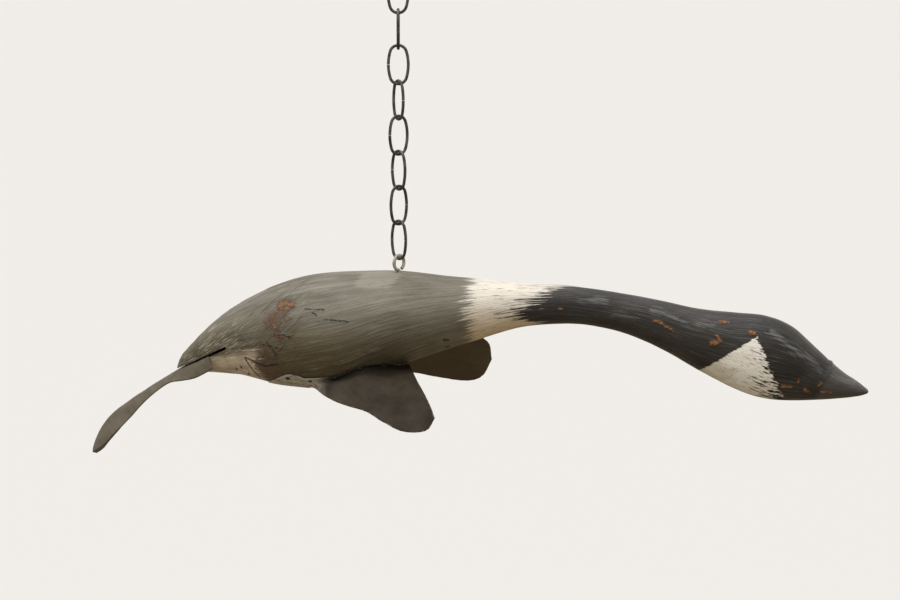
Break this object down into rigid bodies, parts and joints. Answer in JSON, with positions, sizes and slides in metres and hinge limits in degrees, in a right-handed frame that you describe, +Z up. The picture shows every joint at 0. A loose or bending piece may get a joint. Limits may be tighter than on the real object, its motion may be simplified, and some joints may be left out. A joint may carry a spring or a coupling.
{
  "type": "motion wing decoy",
  "caption": "Carved wooden flying goose decoy with sheet-metal stub wings and tail, hung from a steel chain and ceiling hook.",
  "frame": {"origin": "ceiling line: centre of the screw hook's shoulder, where the wood screw starts", "axes": "+X along the bird towards its bill, +Y towards its left wing, +Z up along the screw; the chain and the screw eye are on the Z axis"},
  "size_m": [0.7427, 0.2951, 0.5094],
  "materials": {
    "hook_steel": "satin",
    "chain_steel": "dark oxidised, satin",
    "zinc_steel": "dull zinc",
    "body_paint": "worn grey-brown and white paint on carved wood",
    "black_paint": "worn satin black paint on carved wood, white cheek patch",
    "bare_wood": "bare",
    "tail_paint": "worn grey paint",
    "wing_paint": "worn dark grey-brown paint",
    "nail_steel": "rusted"
  },
  "bodies": {
    "ceiling_hook": {"ceiling_hook": "hook_steel"},
    "link_1": {"chain_link_1": "chain_steel"},
    "link_2": {"chain_link_2": "chain_steel"},
    "link_3": {"chain_link_3": "chain_steel"},
    "link_4": {"chain_link_4": "chain_steel"},
    "link_5": {"chain_link_5": "chain_steel"},
    "link_6": {"chain_link_6": "chain_steel"},
    "link_7": {"chain_link_7": "chain_steel"},
    "link_8": {"chain_link_8": "chain_steel"},
    "decoy": {"screw_eye": "zinc_steel", "body": "body_paint", "neck_head": "black_paint", "neck_dowel": "bare_wood", "tail_sheet": "tail_paint", "tail_nails": "nail_steel", "right_wing": "wing_paint", "left_wing": "wing_paint", "right_wing_tacks": "nail_steel", "left_wing_tacks": "nail_steel"}
  },
  "joints": [
    {"name": "chain_turn", "type": "hinge", "parent": "ceiling_hook", "child": "link_1", "pos_m": [0, 0, -0.0246], "axis": [0, 0, 1], "range_deg": [-30, 30]},
    {"name": "link_2_swing", "type": "hinge", "parent": "link_1", "child": "link_2", "pos_m": [0, 0, -0.0607], "axis": [0.9848, 0.1736, 0], "range_deg": [-30, 30]},
    {"name": "link_3_swing", "type": "hinge", "parent": "link_2", "child": "link_3", "pos_m": [0, 0, -0.0938], "axis": [0.1736, -0.9848, 0], "range_deg": [-30, 30]},
    {"name": "link_4_swing", "type": "hinge", "parent": "link_3", "child": "link_4", "pos_m": [0, 0, -0.1269], "axis": [0.9848, 0.1736, 0], "range_deg": [-30, 30]},
    {"name": "link_5_swing", "type": "hinge", "parent": "link_4", "child": "link_5", "pos_m": [0, 0, -0.16], "axis": [-0.6428, 0.766, 0], "range_deg": [-30, 30]},
    {"name": "link_6_swing", "type": "hinge", "parent": "link_5", "child": "link_6", "pos_m": [0, 0, -0.1931], "axis": [0.766, 0.6428, 0], "range_deg": [-30, 30]},
    {"name": "link_7_swing", "type": "hinge", "parent": "link_6", "child": "link_7", "pos_m": [0, 0, -0.2262], "axis": [0.7771, -0.6293, 0], "range_deg": [-30, 30]},
    {"name": "link_8_swing", "type": "hinge", "parent": "link_7", "child": "link_8", "pos_m": [0, 0, -0.2593], "axis": [-0.6561, -0.7547, 0], "range_deg": [-30, 30]},
    {"name": "decoy_swing", "type": "hinge", "parent": "link_8", "child": "decoy", "pos_m": [0, 0, -0.2924], "axis": [-0.8192, 0.5736, 0], "range_deg": [-30, 30]}
  ]
}
